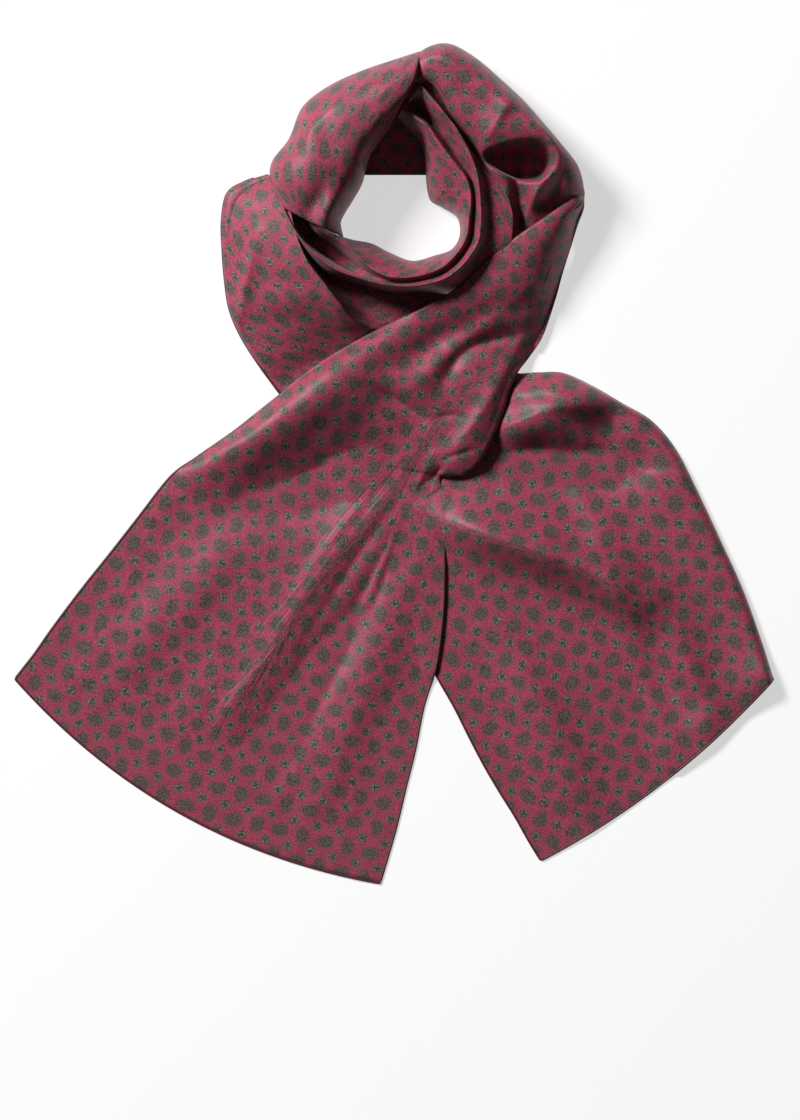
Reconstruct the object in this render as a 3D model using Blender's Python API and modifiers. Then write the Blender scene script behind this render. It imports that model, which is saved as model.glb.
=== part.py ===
"""Silk scarf, dropped on a table: one loose loop with both tails crossed below it.

One strip of silk makes the whole form. It starts at the front tail's end (lower left), crosses up
to the right, folds over, runs round the loop, tucks under itself at the top, comes out as the left
shoulder and ends as the back tail (lower right). Each stretch that shows is one thin wall, lofted
through a short table of sections. Plan sizes are in millimetres, X right, Y up the photograph and
Z up from the table.
"""

import math

import bmesh
import bpy
import numpy as np

MM = 0.001
WALL = 1.6  # the cloth's wall
SEAM = 0.3  # air between two stretches
LAYER = 2.3  # from one layer's middle to the next one's

CRIMSON = (0.30, 0.045, 0.095, 1.0)
SHADED_CRIMSON = (0.22, 0.032, 0.070, 1.0)


def table(columns, rows):
    """The rows as one array of numbers for each named column."""
    values = np.array(rows, float)
    return {name: values[:, i] for i, name in enumerate(columns.split())}


def through(values, count):
    """A smooth curve through the values, read at count even steps."""
    values = np.asarray(values, float)
    steps = np.linspace(0, len(values) - 1, count)
    first = np.minimum(steps.astype(int), len(values) - 2)
    part = (steps - first).reshape((-1,) + (1,) * (values.ndim - 1))
    padded = np.concatenate([[2 * values[0] - values[1]], values, [2 * values[-1] - values[-2]]])
    a, b, c, d = (padded[first + k] for k in range(4))
    return 0.5 * (2 * b + (c - a) * part + (2 * a - 5 * b + 4 * c - d) * part**2
                  + (3 * b - a - 3 * c + d) * part**3)


def sections(rows, count):
    """Every column of a table, smoothed to count sections."""
    return {name: through(column, count)[:, None] for name, column in rows.items()}


def fold(x, y, line, left, right):
    """The height of one soft fold over the points x, y.

    line holds (x, y, height) rows along its crest or trough; left and right are its half widths on
    either side of that line, so that one side can be steeper.
    """
    path = through(line, 5 * len(line))
    start, run = path[:-1], np.diff(path, axis=0)
    dx, dy = x[..., None] - start[:, 0], y[..., None] - start[:, 1]
    along = (dx * run[:, 0] + dy * run[:, 1]) / (run[:, 0] ** 2 + run[:, 1] ** 2)
    along = np.clip(along, 0, 1)
    off_x, off_y = dx - along * run[:, 0], dy - along * run[:, 1]
    far = off_x**2 + off_y**2
    nearest = np.argmin(far, axis=-1)[..., None]
    height = np.take_along_axis(start[:, 2] + along * run[:, 2], nearest, -1)[..., 0]
    side = np.take_along_axis(run[:, 0] * off_y - run[:, 1] * off_x, nearest, -1)[..., 0]
    width = np.where(side > 0, left, right)
    return height * np.exp(-np.take_along_axis(far, nearest, -1)[..., 0] / width**2)


def folds(x, y, rows):
    """The sum of a table of folds."""
    return sum(fold(x, y, line, left, right) for line, left, right in rows.values())


def even_max(a, b, blend):
    """The larger of two heights, rounded where they cross."""
    near = np.maximum(blend - np.abs(a - b), 0) / blend
    return np.maximum(a, b) + near**2 * blend / 4


def steps_across(count, crowd=0.0):
    """Even steps from 0 to 1, crowded towards both ends by crowd."""
    even = np.linspace(0, 1, count)
    return (even - crowd * np.sin(2 * math.pi * even) / (2 * math.pi))[None, :]


# The back tail: from under the front tail to its end at the lower right.
# left and right are the strip's two edges in plan, bow is how far its middle runs ahead of them.
BACK_SECTIONS = table(
    "left_x left_y right_x right_y bow",
    [
        (-73.6, 43.7, 51.6, 107.6, 0),
        (-60, 28, 60, 95, 0),
        (-46, 8, 68, 82, 0),
        (-32, -14, 74, 70, 0),
        (-18, -38, 80, 60, 0),
        (-6, -62, 95, 60, 0),
        (5, -86, 112, 59.5, 0),
        (15, -110, 131, 51, 0),
        (26, -136, 150, 40, 0),
        (40, -161, 170, 28, 0),
        (50, -181, 186, 9, 1),
        (60, -200, 200, -18, 3),
        (70, -217, 215, -50, 5),
        (80, -233, 230, -83, 7),
        (89, -249, 242, -116, 8),
        (97, -262, 250.3, -142, 9),
    ],
)
BACK_FOLDS = {
    "run of the shoulder": ([(-64, 60, 8), (-44, 44, 7), (-22, 20, 4), (4, -20, 0)], 22, 17),
    "first ridge": ([(22, -30, 1), (60, -46, 7), (100, -60, 8), (138, -72, 1)], 12, 11),
    "second ridge": ([(104, -62, 2), (140, -80, 6), (176, -101, 1)], 14, 11),
    "upper hollow bank": ([(66, 12, 2), (92, 22, 7), (116, 14, 5), (146, 12, 2)], 10, 13),
    "flap": ([(84, 46, 6), (104, 48, 7), (128, 40, 4)], 8, 9),
    "fold side": ([(128, 46, 4), (176, 14, 5), (206, -38, 5), (232, -96, 5), (244, -130, 6)], 16, 30),
    "end ripple": ([(176, -96, 1), (192, -132, 5), (204, -166, 4), (206, -186, 2)], 13, 16),
    "low ripple": ([(70, -120, 1), (92, -156, 4), (112, -196, 4), (130, -236, 1)], 15, 20),
}

# The strip turned under along the back tail's right side: its inner edge, and how deep it is turned.
TURN_INNER_EDGE = [
    (98, 60), (104, 40), (110.5, 22.6), (118, -5), (130, -30), (140, -58), (148, -85),
    (159, -114), (170, -143), (178, -172), (183, -194),
]

# The left shoulder: out is its outer edge, top its crest, edge the crisp inner edge beside the dark
# hollow, and in how far the low cloth runs on under the front tail.
SHOULDER_SECTIONS = table(
    "out_x out_y out_z top_x top_y top_z edge_x edge_y edge_z in_x in_y in_z",
    [
        (-85, 189.5, 5, -80, 183, 15, -75, 177, 17.5, -70, 171, 15),
        (-99, 185.5, 1.2, -88, 177, 20, -73, 169, 21.5, -63, 162, 17),
        (-110, 178, 1.0, -95, 164, 23, -67, 157, 21, -58, 151, 16),
        (-113.5, 160, 1.0, -97, 148, 23.5, -60, 145, 18.5, -53, 138, 11),
        (-113, 140, 1.0, -98, 131, 22, -53, 133, 15.5, -46, 122, 4),
        (-111.5, 121, 1.0, -98, 115, 20.5, -44, 121, 16, -29, 114, 3),
        (-108.5, 102, 1.0, -97, 99, 18, -34, 107, 15, -5, 109, 2.5),
        (-101, 84, 1.0, -88, 85, 15, -23, 93, 13, 20, 109, 2.0),
        (-89, 65, 1.0, -75, 69, 12, -11, 89, 9, 40, 112, 1.8),
        (-74, 44.5, 0.8, -61, 51.1, 9, 4, 84.2, 4, 51, 108.2, 1.6),
    ],
)
SHOULDER_FOLDS = {
    "thin ridge": ([(-90, 152, 2), (-97, 120, 4), (-102, 95, 2)], 6, 6),
    "valley": ([(-80, 110, -1), (-64, 92, -5), (-40, 74, -4)], 9, 10),
    "middle": ([(-82, 160, 1), (-76, 130, 3), (-66, 106, 1)], 14, 14),
}

# The front tail: from the fold at the loop's right to its end at the lower left.
FRONT_SECTIONS = table(
    "left_x left_y left_z right_x right_y right_z bow",
    [
        (123, 177, 26, 126, 170, 14, 0),
        (109, 168, 30, 121, 157, 9, 0),
        (93, 157, 31, 116, 141, 5, 0),
        (77, 146, 30, 111, 125, 3, 0),
        (60, 132.5, 28, 106, 107, 2.5, 0),
        (41, 115, 25, 98, 84, 2.5, 0),
        (20, 102.5, 22, 89, 70, 4, 0),
        (0, 93, 19, 81.5, 60, 10, 0),
        (-20, 83, 17, 76.5, 49, 12, 0),
        (-40, 71.5, 16, 71.5, 32, 12, 0),
        (-60, 58, 14, 65, 17, 12, 0),
        (-76, 45, 10, 57, 2, 11, 0),
        (-90, 34, 6, 47, -7, 9, 0),
        (-104, 23, 3.5, 37.5, -8.5, 7, 0),
        (-118, 13, 2.2, 30.5, -9, 5, 0),
        (-132, 3, 1.4, 31, -18, 4, 0),
        (-148, -9, 1.0, 33, -36, 4, 0),
        (-170, -37, 0.8, 33.5, -70, 4, 1),
        (-188, -60, 0.8, 32.5, -100, 3.6, 3),
        (-204, -80, 0.8, 28, -134, 2, 6),
        (-217, -97, 0.8, 20, -160, 0.8, 10),
        (-228, -112, 0.8, 14, -190, 0.8, 14),
        (-237, -125, 0.8, 8, -214, 0.8, 18),
        (-244, -134, 0.8, 1, -243, 0.8, 21),
        (-250.3, -142, 0.8, -9, -277.2, 0.8, 24),
    ],
)
FRONT_FOLDS = {
    "crown over the crossing": ([(100, 128, 3), (62, 92, 7), (20, 46, 9), (-14, 8, 4)], 26, 24),
    "roll": ([(96, 110, 3), (84, 76, 6), (68, 44, 7), (50, 14, 7), (36, -1, 5)], 15, 11),
    "upper valley": ([(104, 105, -2), (70, 100, -5), (40, 92, -5), (8, 74, -4), (-20, 62, -1)], 8, 8),
    "second valley": ([(84, 86, -2), (60, 80, -4), (43, 70, -4), (30, 50, -1)], 7, 7),
    "short crease": ([(-16, 51, -1), (0, 43, -3), (20, 31, -1)], 6, 6),
    "edge ridge": ([(-30, 66, 2), (-66, 42, 5), (-100, 14, 6), (-136, -14, 2)], 10, 14),
    "long ridge": ([(4, 0, 4), (-36, -54, 8), (-72, -108, 8), (-104, -152, 6), (-132, -187, 2)], 18, 12),
    "low swell": ([(-70, -20, 1), (-120, -70, 4), (-168, -118, 3), (-190, -140, 1)], 22, 20),
    "flare swell": ([(20, -52, 1), (2, -96, 3), (-22, -150, 4), (-46, -214, 2)], 16, 20),
    "dip beside the flare": ([(12, -24, -2), (8, -50, -2), (0, -84, 0)], 8, 8),
}

# The loop. out is where a wall meets the table or the cloth below, top is its crest, in its inner foot.
LOOP_COLUMNS = "out_x out_y out_z top_x top_y top_z in_x in_y in_z"
CROWN_RIGHT_SECTIONS = table(
    LOOP_COLUMNS,
    [
        (114, 162, 4, 101, 157, 20.4, 84, 146, 20.2),
        (124.5, 174, 1, 105, 171, 26, 80, 157, 25),
        (125, 182, 0.4, 105, 184, 37, 75.5, 168, 28),
        (121, 196, 0.4, 103, 202, 43, 70, 181, 28),
        (110, 210, 0.4, 97, 214, 46, 61, 191.5, 28),
        (99, 223, 0.4, 86, 223, 48, 54, 205, 29),
        (86, 238, 0.4, 74, 231, 49, 47, 215, 30),
        (70, 253, 0.4, 60, 239, 50, 41, 223, 30),
        (55, 266, 0.4, 48, 248, 50, 36, 231, 31),
        (41, 274.6, 0.4, 38, 256, 50, 32, 240, 33),
        (31, 276.3, 0.4, 28, 261, 48, 25, 248, 36),
        (20, 272.5, 0.4, 18, 260, 45, 17, 251, 36),
        (11, 262.8, 0.4, 10, 255, 40.5, 8, 249, 33),
    ],
)
CROWN_LEFT_SECTIONS = table(
    LOOP_COLUMNS,
    [
        (17, 275, 0.4, 9, 248, 51, -7, 216, 0.4),
        (1, 266, 0.4, -9, 237, 52, -14, 206, 0.4),
        (-20, 259, 0.4, -25, 228, 52, -18, 197, 0.4),
        (-42, 249, 0.4, -39, 218, 52, -21, 185, 0.4),
        (-60, 235, 0.4, -50, 207, 51, -27, 174, 0.4),
        (-69, 214, 0.4, -56, 194, 50, -32, 166, 0.4),
        (-80, 199, 5, -60, 182, 48, -35, 160, 0.4),
        (-81, 186, 17, -62, 173, 45, -35, 156, 0.4),
        (-74, 169, 23.5, -59, 163, 43, -34, 153.5, 0.4),
    ],
)
# The collar stands round the hole with two lips: outer and inner, and a groove between them.
COLLAR_SECTIONS = table(
    "out_x out_y out_z outer_x outer_y outer_z inner_x inner_y inner_z in_x in_y in_z groove",
    [
        (-70, 160, 27, -66, 164, 33, -55, 168, 32, -42, 162, 14, 3),
        (-63, 145, 22, -58, 146, 38, -50, 155, 37, -39, 151.5, 0.95, 8),
        (-43, 129.5, 14, -40, 130.5, 41, -38, 144, 38, -28, 147.5, 0.95, 12),
        (-24, 118, 0.95, -21, 120.5, 41, -22, 131, 38, -15, 145, 0.95, 9),
        (-3, 112, 0.95, -1, 115.5, 41, -6, 122.5, 38, -3, 139, 0.95, 6),
        (18, 112, 0.95, 18, 116.3, 41, 12, 122, 38, 12, 133.5, 0.95, 5),
        (37, 117.5, 0.95, 34, 121, 41, 28, 126.5, 38, 27, 137, 0.95, 5),
        (51, 129, 2, 46, 130.5, 41, 38, 134, 38, 38, 141, 0.95, 5),
        (67, 141, 16, 55, 144, 41, 46.5, 146, 39, 43.5, 150, 0.95, 5),
        (76.8, 157, 24, 57, 158, 42, 49, 160, 40, 42, 162, 0.95, 5),
        (72.7, 167.9, 27, 56.5, 174, 43, 50, 176, 41, 32, 169, 0.95, 5),
        (67.2, 179.8, 27, 54, 191, 44, 46, 188, 41, 24, 174, 0.95, 7),
        (58.5, 190, 27, 48, 206, 45, 37, 199, 41, 21.5, 186, 0.95, 9),
        (51.2, 203.9, 28, 40, 220, 46, 29, 210, 40, 20.5, 200, 0.95, 11),
        (44.0, 213.6, 29, 32, 230, 46, 21, 221, 39, 17, 213, 0.95, 12),
        (32.5, 227.5, 30, 21, 241, 43, 12, 228, 36, 9.5, 223, 26, 10),
    ],
)
# The stretch that dives under the loop's left side, seen as the dark back of the opening.
INSIDE_SECTIONS = table(
    "left_x left_y left_z right_x right_y right_z",
    [
        (-17.2, 190.3, 0.8, 18.8, 190.3, 0.8),
        (-15.2, 198, 4, 18.2, 198, 4),
        (-11.6, 206, 8.5, 17.2, 206, 8.5),
        (-6.0, 214, 12.5, 14.4, 213, 12.5),
        (-3.0, 222, 15.5, 9.8, 219, 15),
        (-3.0, 231, 17, 11, 228, 17),
        (0, 241, 18, 18, 238, 18),
    ],
)
LOOP_FOLDS = {
    "pocket": ([(76, 196, -9), (86, 203, -11), (97, 204, -6)], 11, 11),
    "pocket bank": ([(80, 234, 3), (64, 214, 4)], 7, 7),
    "right ridge": ([(106, 214, 2), (105, 198, 3), (94, 178, 2)], 5, 5),
    "top crease": ([(-2, 262, -2), (-22, 240, -3), (-30, 214, -2)], 6, 6),
    "left crease": ([(-52, 236, -1), (-44, 214, -3), (-34, 190, -2)], 6, 6),
    "left swell": ([(-70, 205, 1), (-62, 186, 2), (-52, 170, 2)], 9, 9),
}


def back_height(x, y):
    """The back tail's middle surface: its folds, lifted by the strip that is turned under it."""
    lift = [(px, py, LAYER) for px, py in TURN_INNER_EDGE]
    return WALL / 2 + folds(x, y, BACK_FOLDS) + fold(x, y, lift, 400.0, 9.0)


def lift_over_back(x, y):
    """How high the front tail's cloth must be to clear the back tail below it."""
    edge = np.stack([BACK_SECTIONS["left_x"], BACK_SECTIONS["left_y"]], 1)
    upper = np.array([(-130.0, 120.0), (-112.0, 100.0)])
    line = np.concatenate([upper, edge])[:11]
    shore = np.full(len(line), 1.0)
    beside = fold(x, y, np.column_stack([line, shore]), 400.0, 7.0)
    return beside * (back_height(x, y) - WALL / 2 + LAYER + 0.9)


def strip_in_plan(rows, count, across, crowd=0.0):
    """Plan points of a strip between its two edges, bowed ahead in the middle."""
    s = sections(rows, count)
    u = steps_across(across, crowd)
    x = s["left_x"] * (1 - u) + s["right_x"] * u
    y = s["left_y"] * (1 - u) + s["right_y"] * u
    run_x, run_y = s["right_x"] - s["left_x"], s["right_y"] - s["left_y"]
    length = np.hypot(run_x, run_y)
    ahead = s["bow"] * 4 * u * (1 - u)
    return s, u, x + ahead * run_y / length, y - ahead * run_x / length


def back_tail():
    _, _, x, y = strip_in_plan(BACK_SECTIONS, 30, 20)
    return np.stack([x, y, back_height(x, y)], -1)


def loop_inside():
    s = sections(INSIDE_SECTIONS, 12)
    u = np.linspace(0, 1, 7)[None, :]
    return np.stack([s["left_" + axis] * (1 - u) + s["right_" + axis] * u for axis in "xyz"], -1)


def back_turn():
    """The flat strip under the back tail's right side, from its fold edge to its inner edge."""
    outer = np.stack([BACK_SECTIONS["right_x"], BACK_SECTIONS["right_y"]], 1)[6:]
    inner = np.array(TURN_INNER_EDGE, float)[1:]
    outer, inner = through(outer, 22)[:, None], through(inner, 22)[:, None]
    u = np.linspace(0, 1, 8)[None, :, None]
    plan = outer * (1 - u) + inner * u
    return np.concatenate([plan, np.full(plan.shape[:2] + (1,), WALL / 2)], -1)


def front_tail():
    s, u, x, y = strip_in_plan(FRONT_SECTIONS, 40, 24, 0.3)
    rise = np.sin(math.pi * u) ** 0.5
    own = s["left_z"] * (1 - u) + s["right_z"] * u + rise * folds(x, y, FRONT_FOLDS)
    own = np.maximum(own, WALL / 2)
    return np.stack([x, y, even_max(own, lift_over_back(x, y), 0.7)], -1)


def arch(rows, count, outer_steps, inner_steps, extra):
    """A wall that rises from its outer foot, rounds over its crest and drops to its inner foot."""
    s = sections(rows, count)
    up = np.linspace(0, math.pi / 2, outer_steps + 1)[None, :]
    down = np.linspace(0, math.pi / 2, inner_steps + 1)[None, 1:]
    one = np.ones((count, 1))
    plan = []
    for axis in "xy":
        out, top, inside = s["out_" + axis], s["top_" + axis], s["in_" + axis]
        plan.append(np.hstack([out + (top - out) * (1 - np.cos(up)), top + (inside - top) * np.sin(down)]))
    z = np.hstack([
        s["out_z"] + (s["top_z"] - s["out_z"]) * np.sin(up),
        s["in_z"] + (s["top_z"] - s["in_z"]) * np.cos(down),
    ])
    x, y = plan
    share = np.hstack([np.sin(up) * one, np.cos(down) * one])
    return np.stack([x, y, z + share * folds(x, y, extra)], -1)


def hidden_layers():
    """The layers that the loop's left side hides, as one rounded solid just inside its wall."""
    inset = WALL + 3 * SEAM
    rows = {name: column[1:7].copy() for name, column in CROWN_LEFT_SECTIONS.items()}
    for axis in "xy":
        for foot in ("out_", "in_"):
            inward_x, inward_y = rows["top_x"] - rows[foot + "x"], rows["top_y"] - rows[foot + "y"]
            rows[foot + axis] += inset * (inward_x if axis == "x" else inward_y) / np.hypot(inward_x, inward_y)
    rows["top_z"] -= inset
    grid = arch(rows, 12, 6, 6, LOOP_FOLDS)
    grid[:, [0, -1], 2] = 0
    return grid


def left_shoulder():
    s = sections(SHOULDER_SECTIONS, 18)
    up = np.linspace(0, math.pi / 2, 5)[None, :]
    flat = np.linspace(0, 1, 7)[None, 1:]
    drop = (np.linspace(0, 1, 7)[None, 1:]) ** 1.8
    x, y = (
        np.hstack([
            s["out_" + axis] + (s["top_" + axis] - s["out_" + axis]) * (1 - np.cos(up)),
            s["top_" + axis] + (s["edge_" + axis] - s["top_" + axis]) * flat,
            s["edge_" + axis] + (s["in_" + axis] - s["edge_" + axis]) * drop,
        ])
        for axis in "xy"
    )
    z = np.hstack([
        s["out_z"] + (s["top_z"] - s["out_z"]) * np.sin(up),
        s["top_z"] + (s["edge_z"] - s["top_z"]) * flat,
        s["in_z"] + (s["edge_z"] - s["in_z"]) * (1 - drop) ** 4,
    ])
    return np.stack([x, y, np.maximum(z + folds(x, y, SHOULDER_FOLDS), WALL / 2)], -1)


def collar():
    s = sections(COLLAR_SECTIONS, 40)
    up = np.linspace(0, math.pi / 2, 5)[None, :]
    over = np.linspace(0, 1, 5)[None, 1:]
    down = np.linspace(0, math.pi / 2, 6)[None, 1:]
    x, y = (
        np.hstack([
            s["out_" + axis] + (s["outer_" + axis] - s["out_" + axis]) * (1 - np.cos(up)),
            s["outer_" + axis] + (s["inner_" + axis] - s["outer_" + axis]) * over,
            s["inner_" + axis] + (s["in_" + axis] - s["inner_" + axis]) * np.sin(down),
        ])
        for axis in "xy"
    )
    z = np.hstack([
        s["out_z"] + (s["outer_z"] - s["out_z"]) * np.sin(up),
        s["outer_z"] * (1 - over) + s["inner_z"] * over - s["groove"] * np.sin(math.pi * over),
        s["in_z"] + (s["inner_z"] - s["in_z"]) * np.cos(down),
    ])
    return np.stack([x, y, np.maximum(z, WALL / 2 + 0.1)], -1)


def silk(name, colour):
    material = bpy.data.materials.new(name)
    material.use_nodes = True
    shader = material.node_tree.nodes["Principled BSDF"]
    shader.inputs["Base Color"].default_value = colour
    shader.inputs["Roughness"].default_value = 0.45
    shader.inputs["Metallic"].default_value = 0.0
    return material


def grid_mesh(name, grid):
    """One quad for each cell of a grid of points in millimetres."""
    rows, columns = grid.shape[:2]
    number = np.arange(rows * columns).reshape(rows, columns)
    corners = (number[:-1, :-1], number[1:, :-1], number[1:, 1:], number[:-1, 1:])
    mesh = bpy.data.meshes.new(name)
    mesh.from_pydata((grid.reshape(-1, 3) * MM).tolist(), [], np.stack(corners, -1).reshape(-1, 4).tolist())
    mesh.shade_smooth()
    return mesh


def add_stretch(collection, name, grid, colour):
    """One stretch of the scarf: its lofted middle surface, given the cloth's wall."""
    stretch = bpy.data.objects.new(name, grid_mesh(name, grid))
    collection.objects.link(stretch)
    stretch.data.materials.append(silk(name + " silk", colour))
    wall = stretch.modifiers.new("cloth wall", "SOLIDIFY")
    wall.thickness = WALL * MM
    wall.offset = 0.0
    return stretch


def add_rounded_solid(collection, name, grid, colour):
    """A solid under a vaulted surface: its two long edges lie on the table and its ends are flat."""
    rows, columns = grid.shape[:2]
    solid = bpy.data.objects.new(name, grid_mesh(name, grid))
    collection.objects.link(solid)
    solid.data.materials.append(silk(name + " silk", colour))
    shape = bmesh.new()
    shape.from_mesh(solid.data)
    shape.verts.ensure_lookup_table()
    for row in range(rows - 1):
        start = row * columns
        shape.faces.new([shape.verts[start + k] for k in (0, columns - 1, 2 * columns - 1, columns)])
    shape.faces.new(shape.verts[:columns])
    shape.faces.new(shape.verts[(rows - 1) * columns:])
    bmesh.ops.recalc_face_normals(shape, faces=shape.faces[:])
    shape.to_mesh(solid.data)
    shape.free()
    return solid


def clear_scene():
    for old in list(bpy.data.objects):
        bpy.data.objects.remove(old)


def main():
    clear_scene()
    collection = bpy.data.collections.new("silk scarf")
    bpy.context.scene.collection.children.link(collection)
    crown_right = arch(CROWN_RIGHT_SECTIONS, 30, 6, 8, LOOP_FOLDS)
    crown_left = arch(CROWN_LEFT_SECTIONS, 22, 7, 7, LOOP_FOLDS)
    add_stretch(collection, "front_tail", front_tail(), CRIMSON)
    add_stretch(collection, "loop_right", crown_right, CRIMSON)
    add_stretch(collection, "loop_left", crown_left, CRIMSON)
    add_stretch(collection, "loop_collar", collar(), SHADED_CRIMSON)
    add_stretch(collection, "loop_inside", loop_inside(), SHADED_CRIMSON)
    add_stretch(collection, "left_shoulder", left_shoulder(), SHADED_CRIMSON)
    add_rounded_solid(collection, "hidden_layers", hidden_layers(), SHADED_CRIMSON)
    add_stretch(collection, "back_tail", back_tail(), CRIMSON)
    add_stretch(collection, "back_tail_turn", back_turn(), SHADED_CRIMSON)


main()
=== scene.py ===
import math

import bpy
import numpy as np
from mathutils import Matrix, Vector


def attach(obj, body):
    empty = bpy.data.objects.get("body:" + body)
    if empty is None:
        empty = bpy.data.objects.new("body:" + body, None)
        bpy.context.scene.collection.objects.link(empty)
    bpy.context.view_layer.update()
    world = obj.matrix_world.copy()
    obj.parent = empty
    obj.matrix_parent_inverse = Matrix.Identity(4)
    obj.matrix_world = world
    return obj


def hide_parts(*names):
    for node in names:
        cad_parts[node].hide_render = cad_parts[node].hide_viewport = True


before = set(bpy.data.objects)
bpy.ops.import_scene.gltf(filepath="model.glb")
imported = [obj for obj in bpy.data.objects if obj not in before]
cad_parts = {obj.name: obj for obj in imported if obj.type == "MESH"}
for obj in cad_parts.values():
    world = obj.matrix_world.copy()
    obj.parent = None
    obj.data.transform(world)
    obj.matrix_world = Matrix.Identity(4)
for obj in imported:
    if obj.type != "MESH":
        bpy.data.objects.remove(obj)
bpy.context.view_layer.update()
print("frame loaded")

mm = 0.001
silkThick = 0.5  # the shell that shows, in mm
clothWall = 1.6  # the wall that the solids have
layerStep = 2.3  # one layer's middle to the next one's
levelSide = 400.0  # a fold's width on a side where it hardly falls
plainCrinkle = 0.06  # how crinkled the silk is where nothing creases it


# numbers and curves

def table(columns, rows):
    values = np.array(rows, float)
    return {name: values[:, i] for i, name in enumerate(columns.split())}


def through(values, count):  # a smooth curve through the rows, at count even steps
    values = np.asarray(values, float)
    steps = np.linspace(0, len(values) - 1, count)
    first = np.minimum(steps.astype(int), len(values) - 2)
    part = (steps - first).reshape((-1,) + (1,) * (values.ndim - 1))
    padded = np.concatenate([[2 * values[0] - values[1]], values, [2 * values[-1] - values[-2]]])
    a, b, c, d = (padded[first + k] for k in range(4))
    return 0.5 * (2 * b + (c - a) * part + (2 * a - 5 * b + 4 * c - d) * part**2
                  + (3 * b - a - 3 * c + d) * part**3)


def sections(rows, count):
    return {name: through(column, count)[:, None] for name, column in rows.items()}


def between(s, first, last, axis, share):  # from one line of a piece's sections to another
    return s[first + axis] + (s[last + axis] - s[first + axis]) * share


def nearestOn(x, y, path):  # squared distance, side, place along and segment of a path in plan
    start, run = path[:-1], np.diff(path, axis=0)
    dx, dy = x[..., None] - start[:, 0], y[..., None] - start[:, 1]
    share = (dx * run[:, 0] + dy * run[:, 1]) / (run[:, 0] ** 2 + run[:, 1] ** 2)
    inside = np.clip(share, 0, 1)
    offX, offY = dx - inside * run[:, 0], dy - inside * run[:, 1]
    far = offX**2 + offY**2
    pick = np.argmin(far, axis=-1)[..., None]
    side = run[:, 0] * offY - run[:, 1] * offX

    def take(values):
        return np.take_along_axis(values, pick, -1)[..., 0]

    return take(far), take(side), take(inside), pick[..., 0]


def awayFrom(x, y, line, count):  # distance from a smooth line, plus on its left
    far, side, _, _ = nearestOn(x, y, through(line, count))
    return np.sign(side) * np.sqrt(far)


def fold(x, y, line, left, right, sharp=0.0):  # one ridge or trough; sharp 1 gives it a crisp crest
    path = through(line, 5 * len(line))
    far, side, share, pick = nearestOn(x, y, path)
    height = path[pick, 2] + share * (path[pick + 1, 2] - path[pick, 2])
    width = np.where(side > 0, left, right)
    soft = np.exp(-far / width**2)
    if not sharp:
        return height * soft
    crisp = np.exp(-(np.sqrt(far + 0.6) - 0.77) / (0.62 * width))
    return height * (soft * (1 - sharp) + crisp * sharp)


def folds(x, y, rows):
    return sum(fold(x, y, *row) for row in rows.values())


def evenMax(a, b, blend):
    near = np.maximum(blend - np.abs(a - b), 0) / blend
    return np.maximum(a, b) + near**2 * blend / 4


def smooth(value, low, high):
    share = np.clip((value - low) / (high - low), 0, 1)
    return share * share * (3 - 2 * share)


def wander(x, y, size, seed, stretch=1.0, turn=0.0):  # soft uneven waves, longer along one direction
    draw = np.random.default_rng(seed)
    c, s = math.cos(turn), math.sin(turn)
    along, across = (x * c + y * s) / stretch, -x * s + y * c
    total = np.zeros_like(x)
    for _ in range(9):
        angle, phase = draw.uniform(0, 2 * math.pi, 2)
        reach = size * draw.uniform(0.7, 1.6)
        total += np.sin((along * math.cos(angle) + across * math.sin(angle)) * 2 * math.pi / reach + phase)
    return total / 4.5


def normals(grid):
    du = np.gradient(grid, axis=1)
    dv = np.gradient(grid, axis=0)
    n = np.cross(du, dv)
    length = np.linalg.norm(n, axis=-1, keepdims=True)
    return n / np.maximum(length, 1e-9)


# print coordinates, in mm of cloth: x across the strip, y along it

def printAlong(x, y, guide, shift=(0.0, 0.0)):
    path = through(guide, 12 * len(guide))
    far, side, share, pick = nearestOn(x, y, path)
    steps = np.hypot(*np.diff(path, axis=0).T)
    place = np.concatenate([[0], np.cumsum(steps)])
    across = np.sign(side) * np.sqrt(far)
    along = place[pick] + share * steps[pick]
    for end, run, segment in ((-1, path[-1] - path[-2], len(steps) - 1), (0, path[1] - path[0], 0)):
        run = run / np.hypot(*run)
        overX, overY = x - path[end, 0], y - path[end, 1]
        past = overX * run[0] + overY * run[1]
        outside = (pick == segment) & (past > 0 if end else past < 0)  # the guide goes on straight
        across = np.where(outside, run[0] * overY - run[1] * overX, across)
        along = np.where(outside, place[end] + past, along)
    return np.stack([across + shift[0], along + shift[1]], -1)


def agreeAt(here, beyond, grid, spot):  # shifts the second print so that both meet at one place
    far = (grid[..., 0] - spot[0]) ** 2 + (grid[..., 1] - spot[1]) ** 2
    at = np.unravel_index(np.argmin(far), far.shape)
    return beyond + here[at] - beyond[at]


def printByShape(grid, anchor, shift=(0.0, 0.0)):  # true lengths over the grid, from one of its columns
    across = np.linalg.norm(np.diff(grid, axis=1), axis=-1)
    across = np.concatenate([np.zeros((len(grid), 1)), np.cumsum(across, axis=1)], axis=1)
    across -= across[:, anchor:anchor + 1]
    along = np.linalg.norm(np.diff(grid, axis=0), axis=-1)
    along = np.concatenate([np.zeros((1, grid.shape[1])), np.cumsum(along, axis=0)])
    own, shared = 0.55, 0.45  # how far a row's place goes by its own column, and by the anchor
    along = own * along + shared * along[:, anchor:anchor + 1]
    return np.stack([across + shift[0], along + shift[1]], -1)


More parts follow.
